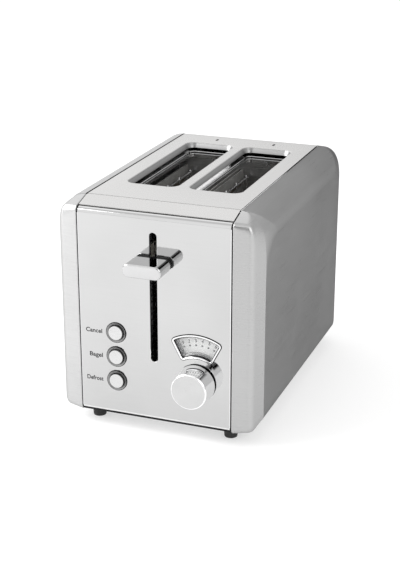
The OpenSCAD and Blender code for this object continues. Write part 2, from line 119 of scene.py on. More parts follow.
class Paint:
    """A node material with one Principled shader and shared object-space coordinates."""

    def __init__(self, name, color, roughness, metallic=0.0, **sockets):
        self.material = bpy.data.materials.new(name)
        self.material.use_nodes = True
        self.nodes = self.material.node_tree.nodes
        self.links = self.material.node_tree.links
        self.shader = self.nodes["Principled BSDF"]
        self.color = color
        self.shader.inputs["Base Color"].default_value = (*color, 1)
        self.shader.inputs["Roughness"].default_value = roughness
        self.shader.inputs["Metallic"].default_value = metallic
        for socket, value in sockets.items():
            self.shader.inputs[socket.replace("_", " ")].default_value = value
        self.place = self.nodes.new("ShaderNodeTexCoord").outputs["Object"]

    def noise(self, scale, detail=4.0, roughness=0.6):
        """Noise in object space; scale is in cells per metre along X, Y and Z."""
        mapping = self.nodes.new("ShaderNodeMapping")
        mapping.inputs["Scale"].default_value = scale
        self.links.new(self.place, mapping.inputs["Vector"])
        texture = self.nodes.new("ShaderNodeTexNoise")
        texture.inputs["Scale"].default_value = 1.0
        texture.inputs["Detail"].default_value = detail
        texture.inputs["Roughness"].default_value = roughness
        self.links.new(mapping.outputs["Vector"], texture.inputs["Vector"])
        return texture.outputs["Fac"]

    def ranged(self, value, low, high, from_low=0.3, from_high=0.7):
        """Value mapped to between low and high; the usual limits suit noise."""
        node = self.nodes.new("ShaderNodeMapRange")
        node.inputs["From Min"].default_value = from_low
        node.inputs["From Max"].default_value = from_high
        node.inputs["To Min"].default_value = low
        node.inputs["To Max"].default_value = high
        self.links.new(value, node.inputs["Value"])
        return node.outputs["Result"]

    def vector_math(self, operation, source, other=None):
        """Vector operation on a linked source and, where it takes one, a fixed other."""
        node = self.nodes.new("ShaderNodeVectorMath")
        node.operation = operation
        self.links.new(source, node.inputs[0])
        if other is not None:
            node.inputs[1].default_value = other
        return node

    def product(self, first, second):
        node = self.nodes.new("ShaderNodeMath")
        node.operation = "MULTIPLY"
        self.links.new(first, node.inputs[0])
        self.links.new(second, node.inputs[1])
        return node.outputs["Value"]

    def shade(self, value):
        """Base colour times a value near 1."""
        node = self.nodes.new("ShaderNodeVectorMath")
        node.operation = "SCALE"
        node.inputs[0].default_value = self.color
        self.links.new(value, node.inputs["Scale"])
        self.links.new(node.outputs["Vector"], self.shader.inputs["Base Color"])

    def rough(self, value):
        self.links.new(value, self.shader.inputs["Roughness"])

    def bump(self, value, distance):
        node = self.nodes.new("ShaderNodeBump")
        node.inputs["Strength"].default_value = 1.0
        node.inputs["Distance"].default_value = distance
        self.links.new(value, node.inputs["Height"])
        self.links.new(node.outputs["Normal"], self.shader.inputs["Normal"])

    def worn_edges(self, value, gain):
        """The value, raised where the surface turns sharply outward."""
        geometry = self.nodes.new("ShaderNodeNewGeometry")
        edge = self.ranged(geometry.outputs["Pointiness"], 1.0, gain, 0.52, 0.6)
        return self.product(value, edge)


def brushed(name, gray, roughness, grain, depth=0.000004, tone=0.05, spread=0.06, warm=0.0,
            stroke=None, edge_tint=1.0):
    """Stainless sheet: fine parallel scratches over slow cloudy changes of tone.

    With a stroke direction the sheen is drawn out across the scratches.
    """
    paint = Paint(name, (gray + warm, gray, gray - warm), roughness, 1.0)
    paint.shader.inputs["Specular Tint"].default_value = (edge_tint, edge_tint, edge_tint, 1)
    if stroke:
        paint.shader.inputs["Anisotropic"].default_value = 0.7
        geometry = paint.nodes.new("ShaderNodeNewGeometry")
        across = paint.vector_math("CROSS_PRODUCT", geometry.outputs["Normal"], stroke)
        paint.links.new(across.outputs["Vector"], paint.shader.inputs["Tangent"])
    scratches = paint.noise(grain, 3.0, 0.7)
    clouds = paint.noise((14, 14, 14), 2.0, 0.5)
    paint.shade(paint.product(paint.ranged(scratches, 1 - tone, 1 + tone),
                              paint.ranged(clouds, 0.97, 1.03)))
    paint.rough(paint.product(paint.ranged(scratches, roughness - spread, roughness + spread),
                              paint.ranged(clouds, 0.92, 1.08)))
    paint.bump(scratches, depth)
    return paint.material


def spun(name, gray, roughness, axis):
    """Turned metal face: fine rings about the axis, with the sheen drawn round it."""
    paint = Paint(name, (gray, gray, gray), roughness, 1.0, Anisotropic=0.75)
    tangent = paint.nodes.new("ShaderNodeTangent")
    tangent.direction_type = "RADIAL"
    tangent.axis = "Y"
    paint.links.new(tangent.outputs["Tangent"], paint.shader.inputs["Tangent"])
    centre = paint.vector_math("SUBTRACT", paint.place, at(axis.x, 0, axis.z))
    flat = paint.vector_math("MULTIPLY", centre.outputs["Vector"], (1, 0, 1))
    radius = paint.vector_math("LENGTH", flat.outputs["Vector"])
    rings = paint.nodes.new("ShaderNodeTexNoise")
    rings.noise_dimensions = "1D"
    rings.inputs["Scale"].default_value = 9000
    rings.inputs["Detail"].default_value = 2.0
    paint.links.new(radius.outputs["Value"], rings.inputs["W"])
    paint.shade(paint.ranged(rings.outputs["Fac"], 0.95, 1.05))
    paint.rough(paint.ranged(rings.outputs["Fac"], roughness - 0.04, roughness + 0.04))
    paint.bump(rings.outputs["Fac"], 0.000004)
    return paint.material


def plated(name, gray, roughness=0.05):
    """Bright plating with faint polishing marks."""
    paint = Paint(name, (gray, gray, gray * 1.005), roughness, 1.0)
    marks = paint.noise((260, 260, 260), 3.0, 0.6)
    paint.shade(paint.ranged(marks, 0.985, 1.015))
    paint.rough(paint.ranged(marks, roughness * 0.7, roughness * 1.4))
    paint.bump(marks, 0.0000012)
    return paint.material


def moulded(name, color, roughness, grain=1800, depth=0.00002, spread=0.08, gloss=0.5):
    """Plastic or rubber with a fine moulded texture and paler worn edges."""
    paint = Paint(name, color, roughness, Specular_IOR_Level=gloss)
    texture = paint.noise((grain, grain, grain), 3.0, 0.6)
    wear = paint.noise((60, 60, 60), 2.0, 0.5)
    paint.shade(paint.worn_edges(paint.ranged(wear, 0.88, 1.12), 1.5))
    paint.rough(paint.ranged(texture, roughness - spread, roughness + spread))
    paint.bump(texture, depth)
    return paint.material


def mica_sheet():
    """Pale brown flaky board with darker specks."""
    paint = Paint("mica", (0.29, 0.285, 0.275), 0.5)
    flakes = paint.noise((90, 260, 260), 5.0, 0.7)
    specks = paint.noise((900, 900, 900), 2.0, 0.5)
    paint.shade(paint.product(paint.ranged(flakes, 0.65, 1.25), paint.ranged(specks, 0.8, 1.1)))
    paint.rough(paint.ranged(flakes, 0.35, 0.65))
    paint.bump(flakes, 0.00006)
    return paint.material


def printed_plate():
    """Matt white dial plate with a faint paper-like texture."""
    paint = Paint("scale_print", (0.74, 0.74, 0.73), 0.45)
    texture = paint.noise((1500, 1500, 1500), 2.0, 0.5)
    paint.shade(paint.ranged(texture, 0.97, 1.03))
    paint.rough(paint.ranged(texture, 0.4, 0.5))
    paint.bump(texture, 0.000004)
    return paint.material


def clear_window():
    """Thin clear plastic with a trace of dust."""
    paint = Paint("clear_window", (0.95, 0.96, 0.97), 0.05, Alpha=0.1)
    dust = paint.noise((400, 400, 400), 3.0, 0.6)
    paint.shade(paint.ranged(dust, 0.9, 1.0))
    paint.rough(paint.ranged(dust, 0.03, 0.12))
    return paint.material


SIDE_GRAIN = (1600, 24, 1600)
RIM_GRAIN = (60, 60, 2200)
PANEL_GRAIN = (18, 1500, 1500)

MAT = {
    # Both shells are the same steel; the different tones and edge tints of their rims and sides,
    # left against right, are painted light and shade for how the light falls on each side.
    "right_side": brushed("right_side", 0.48, 0.34, SIDE_GRAIN, stroke=(0, 1, 0), edge_tint=0.2),
    "left_side": brushed("left_side", 0.42, 0.34, SIDE_GRAIN, stroke=(0, 1, 0)),
    "left_rim": brushed("left_rim", 0.51, 0.32, RIM_GRAIN, stroke=(0, 1, 0), edge_tint=0.6),
    "right_rim": brushed("right_rim", 0.46, 0.32, RIM_GRAIN, stroke=(0, 1, 0), edge_tint=0.8),
    # Plating brighter than the chrome, for rolled edges and the scale bezel's frame: a painted
    # highlight.
    "rolled": plated("painted_highlight_edge", 0.80, 0.12),
    "front": brushed("front_sheet", 0.53, 0.055, PANEL_GRAIN, 0.0000003, 0.012, 0.01),
    # The hem's bend: a lighter copy of the front sheet, a painted highlight.
    "hem": brushed("hem_painted_highlight", 0.74, 0.12, PANEL_GRAIN, 0.0000003, 0.012, 0.01),
    "top": brushed("top_satin", 0.47, 0.28, (900, 900, 900), 0.0000001, 0.006, 0.02, 0.004),
    # The slot collars: a darker copy of the top's satin, painted shade down in the slots.
    "collar": brushed("collar_painted_shade", 0.31, 0.36, (900, 900, 900), 0.0000001, 0.01, 0.02),
    "chrome": plated("chrome", 0.56),
    # The dial's side: a brighter copy of the chrome, a painted sheen.
    "dial_side": plated("dial_chrome_painted_sheen", 0.92),
    "steel": plated("bright_steel", 0.72, 0.16),
    "cap": {name: spun(f"{name}_cap", 0.60, 0.24, place) for name, place in BUTTONS.items()},
    "dial": spun("dial_spun", 0.56, 0.26, DIAL),
    # Black for real trim, and for pieces and bands painted black as shade in gaps and seams.
    "black": moulded("black_trim_and_painted_shade", (0.006, 0.006, 0.0065), 0.5, gloss=0.15),
    "ring": brushed("dark_ring", 0.24, 0.36, (700, 700, 700), 0.000001, 0.03, 0.04),
    "rubber": moulded("rubber", (0.014, 0.014, 0.014), 0.7, 1200, 0.00004),
    "chamber": brushed("chamber_steel", 0.58, 0.34, (40, 1200, 1200), 0.000006, 0.12, 0.1),
    "mica": mica_sheet(),
    "ribbon": brushed("heat_ribbon", 0.30, 0.4, (900, 60, 900), 0.000003, 0.15, 0.1, 0.06),
    "bush": moulded("bush", (0.62, 0.59, 0.52), 0.45),
    "iron": brushed("iron", 0.22, 0.45, (500, 500, 500), 0.00001, 0.1, 0.1),
    "winding": brushed("winding", 0.42, 0.3, (80, 80, 3200), 0.00002, 0.25, 0.08, 0.16),
    "board": moulded("circuit_board", (0.02, 0.09, 0.045), 0.32, 700, 0.00001),
    "print": printed_plate(),
    "window": clear_window(),
    "ink": moulded("ink", (0.012, 0.012, 0.013), 0.6, 2500, 0.000004, gloss=0.1),
    "oiled": brushed("oiled_rod", 0.16, 0.4, (40, 40, 2400), 0.000003, 0.1, 0.08),
}

# ---- Mesh helpers ----


def placed(name, data):
    """New object in the scene."""
    piece = bpy.data.objects.new(name, data)
    bpy.context.scene.collection.objects.link(piece)
    return piece


class Skin:
    """One mesh built from rings of points in millimetres."""

    def __init__(self):
        self.bm = bmesh.new()

    def ring(self, points):
        return [self.bm.verts.new(at(*point)) for point in points]

    def bridge(self, first, second, closed=True, finish=0):
        """Quads between two rings; finish is the place of their material in the piece's list."""
        count = len(first)
        for i in range(count if closed else count - 1):
            k = (i + 1) % count
            self.bm.faces.new((first[i], second[i], second[k], first[k])).material_index = finish

    def cap(self, ring, finish=0):
        self.bm.faces.new(ring).material_index = finish

    def loft(self, rings, closed=True, finish=0):
        """Quads from each ring to the next."""
        for first, second in zip(rings, rings[1:]):
            self.bridge(first, second, closed, finish)

    def block(self, rings):
        """Solid through the rings, with flat ends."""
        self.loft(rings)
        self.cap(rings[0])
        self.cap(rings[-1])

    def fill(self, *loops):
        """A flat area inside the first loop and outside the others."""
        edges = []
        for loop in loops:
            for i, vert in enumerate(loop):
                edges.append(self.edge(vert, loop[(i + 1) % len(loop)]))
        bmesh.ops.triangle_fill(self.bm, use_beauty=True, edges=edges)

    def edge(self, first, second):
        return self.bm.edges.get((first, second)) or self.bm.edges.new((first, second))

    def piece(self, name, body, materials, slot, heart=None, **options):
        """Cleans the mesh and makes the piece; an open mesh is turned to face away from heart."""
        bm = self.bm
        bmesh.ops.remove_doubles(bm, verts=bm.verts, dist=2e-6)
        bmesh.ops.dissolve_degenerate(bm, edges=bm.edges, dist=1e-7)
        bmesh.ops.recalc_face_normals(bm, faces=bm.faces)
        if heart is not None:
            centre = at(*heart)
            facing = sum(f.normal.dot(f.calc_center_median() - centre) * f.calc_area()
                         for f in bm.faces)
            if facing < 0:
                bmesh.ops.reverse_faces(bm, faces=bm.faces)
        return settle(name, bm, body, materials, slot, **options)


def settle(name, bm, body, materials, slot, replaces=(), thick=0.0, bevel=0.0, bevel_angle=35,
           sharp=32):
    """Makes the object from a bmesh, with sheet thickness, rounded edges and even normals.

    Edges that turn by more than the angle sharp stay hard, and those past bevel_angle are
    rounded; both angles are in degrees.
    """
    mesh = bpy.data.meshes.new(name)
    for face in bm.faces:
        face.smooth = True
    bm.to_mesh(mesh)
    bm.free()
    mesh.set_sharp_from_angle(angle=math.radians(sharp))
    piece = placed(name, mesh)
    for material in materials:
        mesh.materials.append(material)
    if thick:
        solid = piece.modifiers.new("Sheet", "SOLIDIFY")
        solid.thickness = thick * MM
        solid.offset = -1
        solid.use_even_offset = True
    if bevel:
        edge = piece.modifiers.new("Edges", "BEVEL")
        edge.width = bevel * MM
        edge.segments = 2
        edge.limit_method = "ANGLE"
        edge.angle_limit = math.radians(bevel_angle)
        edge.harden_normals = False
    even = piece.modifiers.new("Normals", "WEIGHTED_NORMAL")
    even.keep_sharp = True
    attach(piece, body)
    if replaces:
        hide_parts(*replaces)
    return piece


def refined(node, body, material, slot, bevel):
    """The CAD node's own shape with its flat faces joined and its edges rounded."""
    bm = bmesh.new()
    bm.from_mesh(frame["nodes"][node].data)
    bmesh.ops.remove_doubles(bm, verts=bm.verts, dist=1e-6)
    bmesh.ops.dissolve_limit(bm, angle_limit=math.radians(0.6), verts=bm.verts, edges=bm.edges)
    settle(f"{node}_part", bm, body, [material], slot, (node,), bevel=bevel)


def lathe(name, body, materials, slot, axis, profile, closed=False, sides=96, second_from=None,
          **options):
    """Turned piece about a line along Y through axis; profile is radius and Y from the face.

    Bands of the profile from second_from on take the second material.
    """
    skin = Skin()
    rings = []
    for radius, y in profile:
        if radius == 0:
            rings.append(skin.ring([(axis.x, y, axis.z)]) * sides)
        else:
            rings.append(skin.ring([
                (axis.x + radius * math.cos(turn), y, axis.z + radius * math.sin(turn))
                for turn in (2 * math.pi * i / sides for i in range(sides))
            ]))
    pairs = list(zip(rings, rings[1:]))
    if closed:
        pairs.append((rings[-1], rings[0]))
    if second_from is None:
        second_from = len(pairs)
    for band, (first, second) in enumerate(pairs):
        for i in range(sides):
            k = (i + 1) % sides
            corners = [first[i], second[i], second[k], first[k]]
            unique = [v for n, v in enumerate(corners) if v not in corners[:n]]
            skin.bm.faces.new(unique).material_index = 1 if band >= second_from else 0
    skin.piece(name, body, materials, slot, **options)


def arc(y, z, radius, start, end, steps):
    """Points in Y and Z along an arc, angles in degrees."""
    turns = [math.radians(start + (end - start) * i / steps) for i in range(steps + 1)]
    return [(y + radius * math.cos(t), z + radius * math.sin(t)) for t in turns]


def quarter_roll(radius, steps):
    """Inset and depth of points round a rolled edge, from the flat face to the side."""
    turns = [math.pi / 2 * i / steps for i in range(steps + 1)]
    return [(radius * (1 - math.sin(turn)), radius * (1 - math.cos(turn))) for turn in turns]


def round_rect(width, length, radius, z, centre_x, centre_y, steps=10):
    """Closed loop of points at height z."""
    points = []
    for sx, sy, start in ((1, 1, 0), (-1, 1, 90), (-1, -1, 180), (1, -1, 270)):
        x = centre_x + sx * (width / 2 - radius)
        y = centre_y + sy * (length / 2 - radius)
        points += [(px, py, z) for px, py in arc(x, y, radius, start, start + 90, steps)]
    return points


def stadium(width, height, radius, x, z, steps=14):
    """Closed loop in X and Z with round corners."""
    return [(px, pz) for px, pz, _ in round_rect(width, height, radius, 0, x, z, steps)]


# ---- Side shells ----

# How far the flat side's outline lies inside the body's outline, and its corner radii
RIM_FRONT = 17
RIM_REAR = 27
RIM_TOP = 23
RIM_BOTTOM = 14
SIDE_FRONT_R = 34
SIDE_REAR_R = 14
SIDE_BOTTOM_R = 4
# Where the crease between the rim's front and its side comes, and how it fans out at the top
CREASE_Y = 17.2
CREASE_FAN = LIP_L - CREASE_Y
CAP_BEND_R = 7
SEAM_ROLL = 0.8
SEAM_TRIM = 0.05
FLANGE = 3
SHELL_T = 1.2
# Steps round each bend, the same for the seam and for the flat side's outline
ROLL_STEPS = 4
RIM_STEPS = 16
CORNER_STEPS = 18
LIP_STEPS = 12
LOW_STEPS = 10
BACK_STEPS = 4
# Places along the bottom edge, closer together where the front rim turns under
BOTTOM_Y = (200, 150, 100, 60, 40, 30, 25, 22, 20, 18, 15, 12, 8)
# Order of a shell's materials; the third, black, is painted shade in the seam behind the lip
RIM, FLAT, SEAM_SHADE = range(3)


def bend_points(start_turn, end_turn, radius, run, drop, steps=12):
    """Shares of run and drop for two straight stretches joined by a bend, angles from X."""
    first, last = math.radians(start_turn), math.radians(end_turn)
    tangent = radius * math.tan((last - first) / 2)
    corner_x = (run * math.tan(last) - drop) / (math.tan(last) - math.tan(first))
    corner = Vector((corner_x, corner_x * math.tan(first)))
    start = corner - Vector((math.cos(first), math.sin(first))) * tangent
    centre = start + Vector((-math.sin(first), math.cos(first))) * radius
    points = [start * i / 4 for i in range(5)]
    for i in range(1, steps + 1):
        turn = first + (last - first) * i / steps
        points.append(centre + Vector((math.sin(turn), -math.cos(turn))) * radius)
    end, goal = points[-1], Vector((run, drop))
    points += [end + (goal - end) * i / 5 for i in range(1, 6)]
    return [(p.x / run, p.y / drop) for p in points]


# The rim's front, which slopes back gently from the seam and then bends toward the side
CAP_SHAPE = bend_points(10, 68, CAP_BEND_R, SHELL_OUT - SEAM_ROLL, CREASE_Y)


def outline_pairs():
    """Points at the seam, each with its point on the edge of the flat side, in Y and Z."""
    low = SHELL_LOW.z + CORNER_R
    high = LIP_Z - CORNER_R
    side_low = SHELL_LOW.z + RIM_BOTTOM + SIDE_BOTTOM_R
    side_high = TOP_Z - RIM_TOP
    rear = BODY_L - CORNER_R
    side_rear = BODY_L - RIM_REAR
    front_y = RIM_FRONT + SIDE_FRONT_R
    front_z = side_high - SIDE_FRONT_R
    rear_y = side_rear - SIDE_REAR_R
    rear_z = side_high - SIDE_REAR_R
    turn = 90 + LIP_SLOPE / 2

    def slope(start, end, steps):
        return [(start[0] + (end[0] - start[0]) * i / steps,
                 start[1] + (end[1] - start[1]) * i / steps) for i in range(1, steps + 1)]

    corner = arc(CORNER_R, high, CORNER_R, 180, 90 + LIP_SLOPE, CORNER_STEPS)
    back = arc(rear, high, CORNER_R, 90 - LIP_SLOPE, 0, CORNER_STEPS)
    seam = (
        arc(CORNER_R, low, CORNER_R, 270, 180, LOW_STEPS)
        + corner
        + slope(corner[-1], (LIP_L, TOP_Z), LIP_STEPS)
        + [(BODY_L - LIP_L, TOP_Z)]
        + slope((BODY_L - LIP_L, TOP_Z), back[0], BACK_STEPS)[:-1]
        + back
        + arc(rear, low, CORNER_R, 0, -90, LOW_STEPS)
        + [(y, SHELL_LOW.z) for y in BOTTOM_Y]
    )
    side_start, side_end = RIM_FRONT + SIDE_BOTTOM_R, side_rear - SIDE_BOTTOM_R
    share = (side_end - side_start) / (rear - CORNER_R)
    side = (
        arc(side_start, side_low, SIDE_BOTTOM_R, 270, 180, LOW_STEPS)
        + arc(front_y, front_z, SIDE_FRONT_R, 180, turn, CORNER_STEPS)
        + arc(front_y, front_z, SIDE_FRONT_R, turn, 90, LIP_STEPS)[1:]
        + [(rear_y, side_high)]
        + arc(rear_y, rear_z, SIDE_REAR_R, 90, 180 - turn, BACK_STEPS)[1:-1]
        + arc(rear_y, rear_z, SIDE_REAR_R, 180 - turn, 0, CORNER_STEPS)
        + arc(side_end, side_low, SIDE_BOTTOM_R, 0, -90, LOW_STEPS)
        + [(side_start + (y - CORNER_R) * share, side_low - SIDE_BOTTOM_R) for y in BOTTOM_Y]
    )
    return [Vector(p) for p in seam], [Vector(p) for p in side]


def rim_path(seam, side, inward, sign):
    """Points from the flange at the seam, over the rolled edge and the rim, to the flat side."""
    if seam.x >= LIP_L:
        cos_crease = 1.0
    else:
        cos_crease = (side.x - CREASE_Y) / (CREASE_FAN + side.x - seam.x)
        cos_crease = min(1.0, max(0.0, cos_crease))
    crease = math.acos(cos_crease)
    run = SHELL_OUT - SEAM_ROLL
    path = [(-SEAM_TRIM, seam + inward * FLANGE)]
    for i in range(ROLL_STEPS + 1):
        turn = math.pi / 2 * i / ROLL_STEPS
        path.append((SEAM_ROLL - (SEAM_ROLL + SEAM_TRIM) * math.cos(turn),
                     seam + inward * SEAM_ROLL * (1 - math.sin(turn))))
    knee = side + (seam - side) * cos_crease
    knee_out = run * math.sin(crease)
    for out, share in CAP_SHAPE[1:]:
        path.append((SEAM_ROLL + knee_out * out, seam + (knee - seam) * share))
    for i in range(1, RIM_STEPS + 1):
        turn = crease + (math.pi / 2 - crease) * i / RIM_STEPS
        path.append((SEAM_ROLL + run * math.sin(turn), side + (seam - side) * math.cos(turn)))
    return [(sign * (SHELL_X + out), place.x, place.y) for out, place in path]


def side_shell(name, sign, rim, flat):
    """Drawn shell, whose rolled edge is painted black behind the lip, as shade where it lines the
    top's seam.
    """
    seam, side = outline_pairs()
    count = len(seam)
    paths = []
    for i in range(count):
        along = (seam[(i + 1) % count] - seam[i - 1]).normalized()
        inward = Vector((along.y, -along.x))
        paths.append(rim_path(seam[i], side[i], inward, sign))
    skin = Skin()
    rings = [skin.ring(ring) for ring in zip(*paths)]
    for k, (first, second) in enumerate(zip(rings, rings[1:])):
        if 2 <= k <= ROLL_STEPS:
            finish = SEAM_SHADE
        elif k < ROLL_STEPS + len(CAP_SHAPE):
            finish = RIM
        else:
            finish = FLAT
        skin.bridge(first, second, finish=finish)
    skin.cap(rings[-1], finish=FLAT)
    bmesh.ops.remove_doubles(skin.bm, verts=skin.bm.verts, dist=2e-6)
    # Behind the lip the rolled edge keeps the black, painted shade in the seam; in front it takes
    # the rim's steel.
    for face in skin.bm.faces:
        behind_lip = face.calc_center_median().y > at(0, LIP_L, 0).y
        if behind_lip and face.material_index == RIM:
            face.material_index = FLAT
        elif not behind_lip and face.material_index == SEAM_SHADE:
            face.material_index = RIM
    skin.piece(name, "housing", [MAT[rim], MAT[flat], MAT["black"]], "brushed_shell",
               heart=(0, BODY_L / 2, TOP_Z / 2), replaces=(name.replace("_sheet", ""),),
               thick=SHELL_T, sharp=14)


side_shell("left_side_shell_sheet", -1, "left_rim", "left_side")
side_shell("right_side_shell_sheet", 1, "right_rim", "right_side")

# ---- Top panel ----

TOP_T = 0.7
SLOT_ROLL = 1.3
SLOT_STEPS = 5
# Band of a slot's rolled edge where the collar's painted shade, a darker copy of the top's satin,
# starts
COLLAR_FROM = 3
LIP_BEND_R = 1.5
LIP_EDGE = mm_box("top_panel")[0].y
# Distance behind the lip's bend and depth of the groove that marks it
GROOVE = ((2.0, 0), (1.2, 0.9), (0.6, 0.3))
# The bright frame below each slot: its inset from the slot, then inset and drop round its section
RIM_INSET = 2.7
RIM_SECTION = ((0, 8.3), (0, 7.7), (0.25, 7.4), (0.65, 7.4), (0.9, 7.7), (0.9, 8.3))


def lip_section():
    """Y and Z from the flat top, past a fine groove and down the slope to the lip's edge."""
    half = math.radians(LIP_SLOPE / 2)
    start = LIP_L + LIP_BEND_R * math.tan(half)
    groove = [(start + behind, TOP_Z - depth) for behind, depth in GROOVE]
    points = groove + arc(start, TOP_Z - LIP_BEND_R, LIP_BEND_R, 90, 90 + LIP_SLOPE, 5)
    points.append((LIP_EDGE, TOP_Z - (LIP_L - LIP_EDGE) * LIP_TAN))
    return points


def top_panel():
    skin = Skin()
    half = PANEL_HALF
    section = lip_section()
    fronts = [skin.ring([(-half, y, z), (half, y, z)]) for y, z in section]
    backs = [skin.ring([(-half, BODY_L - y, z), (half, BODY_L - y, z)]) for y, z in section]
    for rows in (fronts, backs):
        skin.loft(rows, closed=False)
    flat = [fronts[0][0], fronts[0][1], backs[0][1], backs[0][0]]
    holes = []
    for x in (-SLOT_X, SLOT_X):
        rows = quarter_roll(SLOT_ROLL, SLOT_STEPS)
        rows += [(-COLLAR_IN * share, COLLAR_DROP * share) for share in (0.5, 1)]
        rings = [skin.ring(round_rect(SLOT_W + 2 * grow, SLOT_L + 2 * grow, SLOT_R + grow,
                                      TOP_Z - drop, x, SLOT_MID)) for grow, drop in rows]
        for k, (first, second) in enumerate(zip(rings, rings[1:])):
            skin.bridge(first, second, finish=1 if k >= COLLAR_FROM else 0)
        holes.append(rings[0])
    skin.fill(flat, *holes)
    skin.piece("top_panel_sheet", "housing", [MAT["top"], MAT["collar"]], "top_satin",
               heart=(0, BODY_L / 2, 0), replaces=("top_panel",), thick=TOP_T, bevel=0.15,
               bevel_angle=60)


top_panel()


def slot_rim(name, x):
    """Thin bright frame that edges the toasting chamber below a slot."""
    skin = Skin()
    width, length, radius = SLOT_W - 2 * RIM_INSET, SLOT_L - 2 * RIM_INSET, SLOT_R - RIM_INSET
    rings = [skin.ring(round_rect(width - 2 * inset, length - 2 * inset, radius - inset,
                                  TOP_Z - drop, x, SLOT_MID)) for inset, drop in RIM_SECTION]
    skin.loft(rings + rings[:1])
    skin.piece(name, "housing", [MAT["steel"]], "bright_steel")


slot_rim("left_slot_rim", -SLOT_X)
slot_rim("right_slot_rim", SLOT_X)

# ---- Front panel ----

PANEL_T = 0.95
PANEL_EDGE_R = 0.6
PANEL_SIDE = 11
PANEL_FLANGE = 8
HEM_R = 2.5
BASE_SHADE_STRIP = 1
TOP_BEND_R = LIP_EDGE
BEND_STEPS = 8
EDGE_STEPS = 4
SLOT_TOP = LEVER.z + 24.5
SLOT_LOW = LEVER.z - 84.5
LEVER_SLOT_W = 6.2
LEVER_SLOT_EDGE_R = 0.5
LEVER_SLOT_FLAT = 0.01
BUTTON_HOLE_R = 8
SHAFT_HOLE_R = 3.8
FAN_IN, FAN_OUT, FAN_ANGLE, FAN_R = 22.2, 40.6, 29.5, 1.4


def fan_loop(r_in, r_out, half_angle, radius, steps=24):
    """Fan-shaped loop about the dial in X and Z; its corner centres lie half_angle from upright."""
    left, right = 90 + half_angle, 90 - half_angle
    x, z = DIAL.x, DIAL.z

    def corner(distance, side, start):
        turn = math.radians(side)
        return arc(x + distance * math.cos(turn), z + distance * math.sin(turn), radius,
                   start, start + 90, 6)

    return (
        arc(x, z, r_out, right, left, steps)[1:-1]
        + corner(r_out - radius, left, left)
        + corner(r_in + radius, left, left + 90)
        + arc(x, z, r_in, left, right, steps)[1:-1]
        + corner(r_in + radius, right, right - 180)
        + corner(r_out - radius, right, right - 90)
    )


def circle_loop(x, z, radius, steps=48):
    return arc(x, z, radius, 0, 360, steps)[:-1]


def flat_loop(skin, points, y=0):
    """Ring at one depth from points in X and Z."""
    return skin.ring([(x, y, z) for x, z in points])


def front_panel():
    """Polished sheet with rolled edges and openings for the lever, buttons, dial and scale."""
    skin = Skin()
    half = PANEL_HALF + SEAM_TRIM - PANEL_EDGE_R
    base = PANEL_LOW + BASE_SHADE_STRIP
    low, high = base + HEM_R, PANEL_HIGH - TOP_BEND_R
    top = arc(TOP_BEND_R, high, TOP_BEND_R, 180, 90, BEND_STEPS) + [(PANEL_FLANGE, PANEL_HIGH)]
    bottom = arc(HEM_R, low, HEM_R, 180, 270, BEND_STEPS) + [(PANEL_FLANGE, base)]
    tops = [skin.ring([(-half, y, z), (half, y, z)]) for y, z in top]
    bottoms = [skin.ring([(-half, y, z), (half, y, z)]) for y, z in bottom]
    skin.loft(tops, closed=False)
    # The hem's bend takes a lighter copy of the sheet, a painted highlight.
    skin.loft(bottoms, closed=False, finish=1)
    for end, sign in enumerate((-1, 1)):
        previous = [bottoms[0][end], tops[0][end]]
        for inset, y in quarter_roll(PANEL_EDGE_R, EDGE_STEPS)[1:]:
            x = sign * (half + PANEL_EDGE_R - inset)
            row = skin.ring([(x, y, low), (x, y, high)])
            # The side edges' rolls take the brighter plating, a painted highlight line.
            skin.bridge(previous, row, closed=False, finish=2)
            previous = row
        x = sign * (half + PANEL_EDGE_R)
        row = skin.ring([(x, PANEL_SIDE, low), (x, PANEL_SIDE, high)])
        skin.bridge(previous, row, closed=False)
    rings = []
    for grow, y in quarter_roll(LEVER_SLOT_EDGE_R, EDGE_STEPS):
        width = LEVER_SLOT_W + 2 * grow
        loop = stadium(width, SLOT_TOP - SLOT_LOW + 2 * grow, width / 2 - LEVER_SLOT_FLAT, 0,
                       (SLOT_TOP + SLOT_LOW) / 2)
        rings.append(flat_loop(skin, loop, y))
    skin.loft(rings)
    holes = [rings[0]]
    for place in BUTTONS.values():
        holes.append(flat_loop(skin, circle_loop(place.x, place.z, BUTTON_HOLE_R)))
    holes.append(flat_loop(skin, circle_loop(DIAL.x, DIAL.z, SHAFT_HOLE_R)))
    holes.append(flat_loop(skin, fan_loop(FAN_IN, FAN_OUT, FAN_ANGLE, FAN_R)))
    flat = [bottoms[0][0], bottoms[0][1], tops[0][1], tops[0][0]]
    skin.fill(flat, *holes)
    skin.piece("front_panel_sheet", "housing", [MAT["front"], MAT["hem"], MAT["rolled"]],
               "polished_panel", heart=(0, BODY_L / 2, TOP_Z / 2), replaces=("front_panel",),
               thick=PANEL_T)


front_panel()
refined("rear_panel", "housing", MAT["front"], "polished_panel", 0.15)

# ---- Lever ----

COLLAR_DEPTH = 3.9
COLLAR_OVERLAP = 0.1
COLLAR_GAP = 0.35
COLLAR_SMALLER = 1.0
# How far the end's roundness falls short of half the knob's height
END_FLAT = 0.4
KNOB_EDGE = 1.3
KNOB_BACK_EDGE = 0.4
KNOB_CROWN = 0.7
CROWN_DEPTH = 4
EDGE_ROWS = 6
FACE_ROWS = 8


